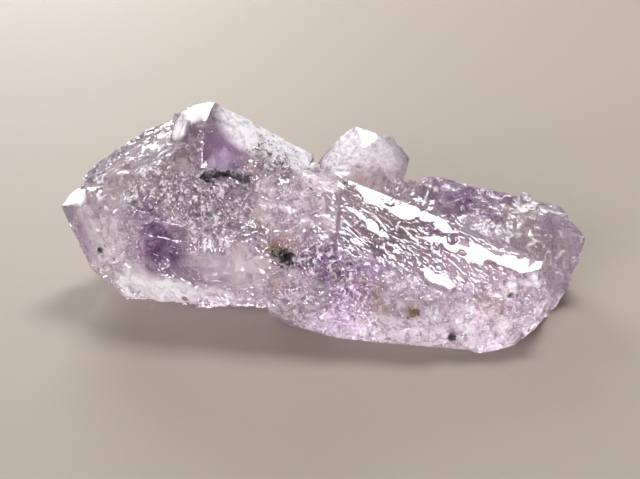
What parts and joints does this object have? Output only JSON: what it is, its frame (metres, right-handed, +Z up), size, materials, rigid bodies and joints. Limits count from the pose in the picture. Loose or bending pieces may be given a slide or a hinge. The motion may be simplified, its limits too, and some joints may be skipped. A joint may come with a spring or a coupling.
{
  "type": "amethyst crystal cluster",
  "caption": "Cluster of pale lilac amethyst crystals grown together in one long low piece, with a stepped upper face, a raised peak and a flat broken base to rest on.",
  "frame": {"origin": "under the middle of the cluster's outline, on the flat base it rests on", "axes": "+X along the cluster's length, towards the blunt end of the long stepped crystal; +Y to its back; +Z up"},
  "size_m": [0.0612, 0.0298, 0.0242],
  "materials": {
    "amethyst": "clear to cloudy pale lilac quartz with deeper violet patches, glossy growth faces and frosted broken faces",
    "mineral_grains": "dull dark green, brown and black mineral grains that fill the pits and hollows"
  },
  "bodies": {
    "root": {"amethyst_cluster": "amethyst"}
  },
  "joints": []
}
